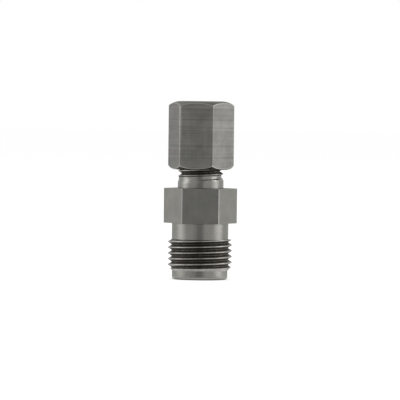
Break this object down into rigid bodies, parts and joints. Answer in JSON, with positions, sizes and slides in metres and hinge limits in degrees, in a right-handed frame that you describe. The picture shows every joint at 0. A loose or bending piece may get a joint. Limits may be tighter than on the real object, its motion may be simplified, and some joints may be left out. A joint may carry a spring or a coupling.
{
  "type": "face seal fitting",
  "caption": "Straight steel fitting with a threaded face-seal end, a wrench hexagon and a compression tube end closed by its hexagon nut.",
  "frame": {"origin": "centre of the nose's end face, on the axis that all the pieces share, so the fitting stands on Z = 0", "axes": "+Z along the common axis from the face-seal end to the tube end; +X through a corner of the body's hexagon, -Y out of one of its flats"},
  "size_m": [0.0182, 0.0158, 0.044],
  "materials": {
    "body_steel": "machined, satin",
    "nut_steel": "milled, satin",
    "ferrule_steel": "turned, bright"
  },
  "bodies": {
    "body": {"fitting_body": "body_steel"},
    "ferrules": {"front_ferrule": "ferrule_steel", "back_ferrule": "ferrule_steel"},
    "nut": {"tube_nut": "nut_steel"}
  },
  "joints": [
    {"name": "ferrules_rise", "type": "slide", "parent": "body", "child": "ferrules", "axis": [0, 0, 1], "range_m": [0, 0.00889]},
    {"name": "nut_turn", "type": "hinge", "parent": "ferrules", "child": "nut", "pos_m": [0, 0, 0.0355], "axis": [0, 0, 1], "range_deg": [0, 2520]}
  ],
  "couplings": [
    {"joint": "ferrules_rise", "follows": "nut_turn", "m_per_rad": 0.00020213}
  ]
}
